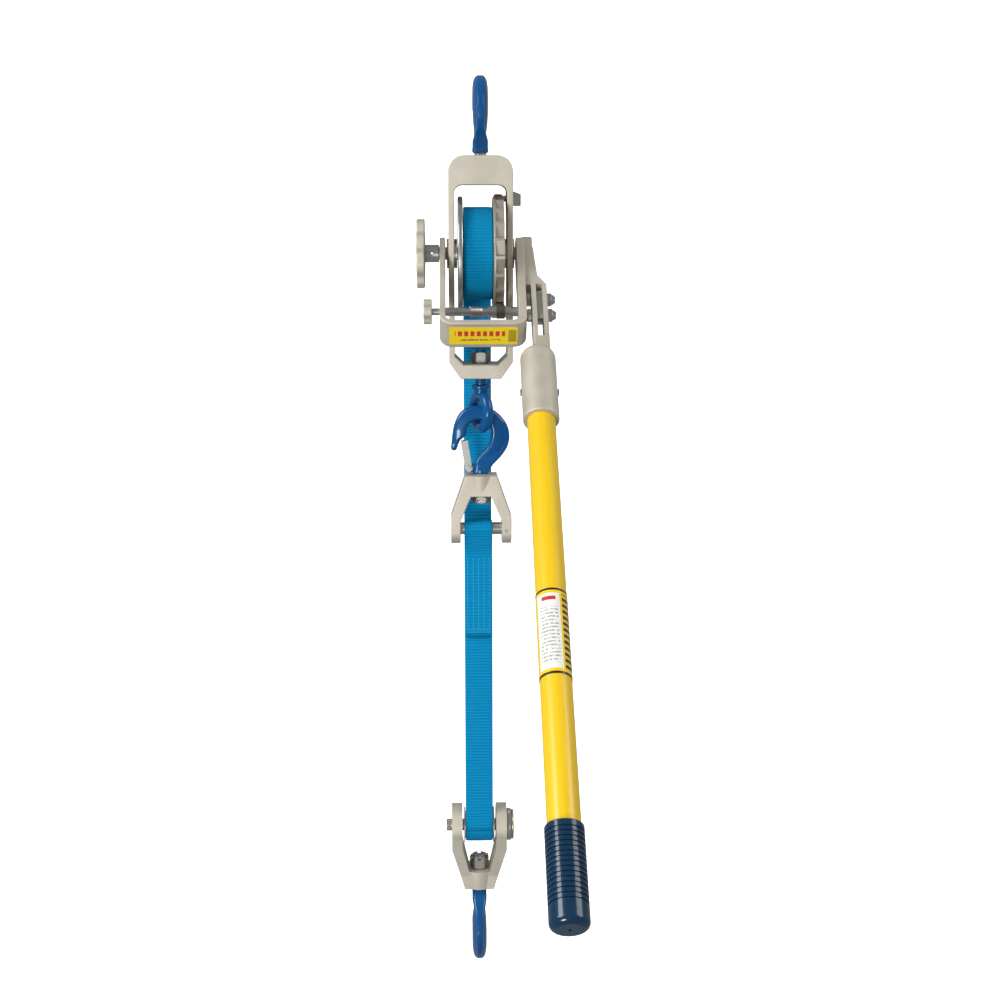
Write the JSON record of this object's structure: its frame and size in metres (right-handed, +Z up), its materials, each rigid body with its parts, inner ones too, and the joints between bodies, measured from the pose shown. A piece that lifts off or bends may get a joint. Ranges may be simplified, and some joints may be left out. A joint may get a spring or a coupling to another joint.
{
  "type": "web strap ratchet hoist",
  "caption": "Lever ratchet hoist: a cast frame with a strap drum, a star handwheel, a long tubular handle on a yoke, a swivel eye, a lower block and swivel hooks.",
  "frame": {"origin": "inside of the top hook's bowl, where the hoist hangs", "axes": "+Z up along the load line, X along the drum's shaft, the handle points to -Y"},
  "size_m": [0.1493, 0.6758, 1.0333],
  "materials": {
    "cast_aluminium": "as-cast satin",
    "hook_blue": "glossy paint",
    "strap_blue": "woven webbing",
    "tube_yellow": "glossy gelcoat",
    "grip_navy": "dipped vinyl",
    "steel": "zinc plated, satin",
    "dark_steel": "oiled, dark",
    "bronze": "machined",
    "zinc_yellow": "yellow zinc plated",
    "label_yellow": "printed film",
    "label_white": "printed film"
  },
  "bodies": {
    "top_hook": {"top_hook": "hook_blue", "top_hook_nut": "steel", "top_hook_latch_rivet": "steel"},
    "top_latch": {"top_hook_latch": "steel"},
    "frame": {"frame_casting": "cast_aluminium", "frame_bushings": "bronze", "thrust_washers": "steel", "strap_outer_turn": "strap_blue", "strap_back_run": "strap_blue", "strap_front_run": "strap_blue", "strap_end_loop": "strap_blue", "strap_clevis": "cast_aluminium", "strap_clevis_pin": "steel", "clevis_lock_pin": "steel"},
    "drum": {"drum_shaft": "steel", "drum_key": "dark_steel", "drum_core": "dark_steel", "drum_flange": "steel", "ratchet_wheel": "steel", "strap_anchor_pin": "dark_steel", "shaft_snap_ring": "steel", "star_handwheel": "cast_aluminium", "handwheel_hub": "steel", "hub_roll_pin": "steel", "strap_wound": "strap_blue"},
    "lever": {"lever_yoke": "cast_aluminium", "yoke_label": "label_yellow", "link_plate": "steel", "lug_bolts": "steel", "lug_nuts": "steel", "handle_socket": "cast_aluminium", "socket_pin": "steel", "handle_tube": "tube_yellow", "handle_label": "label_white", "handle_grip": "grip_navy"},
    "drive_pawl": {"drive_pawl": "dark_steel", "drive_pawl_shaft": "steel", "pawl_knob": "cast_aluminium", "pawl_spacers": "steel"},
    "stop_pawl": {"stop_pawl": "dark_steel", "stop_pawl_shaft": "steel", "trip_lug": "steel"},
    "eye": {"swivel_eye": "hook_blue", "eye_nut": "steel"},
    "strap_hook": {"strap_hook": "hook_blue", "strap_hook_nut": "steel", "strap_hook_latch_rivet": "steel"},
    "strap_hook_latch": {"strap_hook_latch": "steel"},
    "block": {"block_clevis": "cast_aluminium", "sheave_pin": "steel", "sheave_cotter": "zinc_yellow", "sheave_clip": "zinc_yellow", "strap_bight": "strap_blue"},
    "sheave": {"sheave": "steel", "sheave_bushing": "bronze"},
    "block_hook": {"block_hook": "hook_blue", "block_hook_nut": "steel", "block_hook_cotter": "steel", "block_hook_latch_rivet": "steel"},
    "block_latch": {"block_hook_latch": "steel"}
  },
  "joints": [
    {"name": "top_latch_hinge", "type": "hinge", "parent": "top_hook", "child": "top_latch", "pos_m": [0, 0.01489, -0.0588], "axis": [1, 0, 0], "range_deg": [0, 25], "stiffness_Nm_per_rad": 0.05, "springref_deg": -28.65},
    {"name": "frame_swivel", "type": "hinge", "parent": "top_hook", "child": "frame", "pos_m": [0, 0, -0.06818], "axis": [0, 0, 1], "continuous": true},
    {"name": "drum_spin", "type": "hinge", "parent": "frame", "child": "drum", "pos_m": [0, 0, -0.17378], "axis": [1, 0, 0], "range_deg": [-720, 400]},
    {"name": "lever_swing", "type": "hinge", "parent": "frame", "child": "lever", "pos_m": [0, 0, -0.17378], "axis": [1, 0, 0], "range_deg": [-108, 24]},
    {"name": "drive_pawl_hinge", "type": "hinge", "parent": "lever", "child": "drive_pawl", "pos_m": [0, -0.06009, -0.23387], "axis": [-1, 0, 0], "range_deg": [0, 25], "stiffness_Nm_per_rad": 0.3, "springref_deg": -34.38},
    {"name": "stop_pawl_hinge", "type": "hinge", "parent": "frame", "child": "stop_pawl", "pos_m": [0, 0.03112, -0.11399], "axis": [1, 0, 0], "range_deg": [0, 25], "stiffness_Nm_per_rad": 0.3, "springref_deg": -34.38},
    {"name": "eye_swivel", "type": "hinge", "parent": "frame", "child": "eye", "pos_m": [0, 0, -0.31078], "axis": [0, 0, 1], "continuous": true},
    {"name": "strap_hook_swivel", "type": "hinge", "parent": "frame", "child": "strap_hook", "pos_m": [0, 0, -0.42178], "axis": [0, 0, 1], "continuous": true},
    {"name": "strap_hook_latch_hinge", "type": "hinge", "parent": "strap_hook", "child": "strap_hook_latch", "pos_m": [-0.014, 0, -0.41458], "axis": [0, 1, 0], "range_deg": [0, 25], "stiffness_Nm_per_rad": 0.05, "springref_deg": -28.65},
    {"name": "block_travel", "type": "slide", "parent": "frame", "child": "block", "axis": [0, 0, 1], "range_m": [-0.31089, 0.17294], "deforming": ["strap_back_run", "strap_front_run"]},
    {"name": "sheave_spin", "type": "hinge", "parent": "block", "child": "sheave", "pos_m": [-0.00315, 0, -0.84578], "axis": [1, 0, 0], "range_deg": [-1006.75, 560.19]},
    {"name": "block_hook_swivel", "type": "hinge", "parent": "block", "child": "block_hook", "pos_m": [-0.00315, 0, -0.92178], "axis": [0, 0, 1], "continuous": true},
    {"name": "block_latch_hinge", "type": "hinge", "parent": "block_hook", "child": "block_latch", "pos_m": [-0.00315, 0.0168, -0.93018], "axis": [-1, 0, 0], "range_deg": [0, 25], "stiffness_Nm_per_rad": 0.05, "springref_deg": -28.65}
  ],
  "couplings": [
    {"joint": "block_travel", "follows": "drum_spin", "m_per_rad": 0.0247},
    {"joint": "sheave_spin", "follows": "drum_spin", "ratio": 1.3955},
    {"joint": "strap_hook_swivel", "follows": "eye_swivel", "ratio": 1}
  ]
}
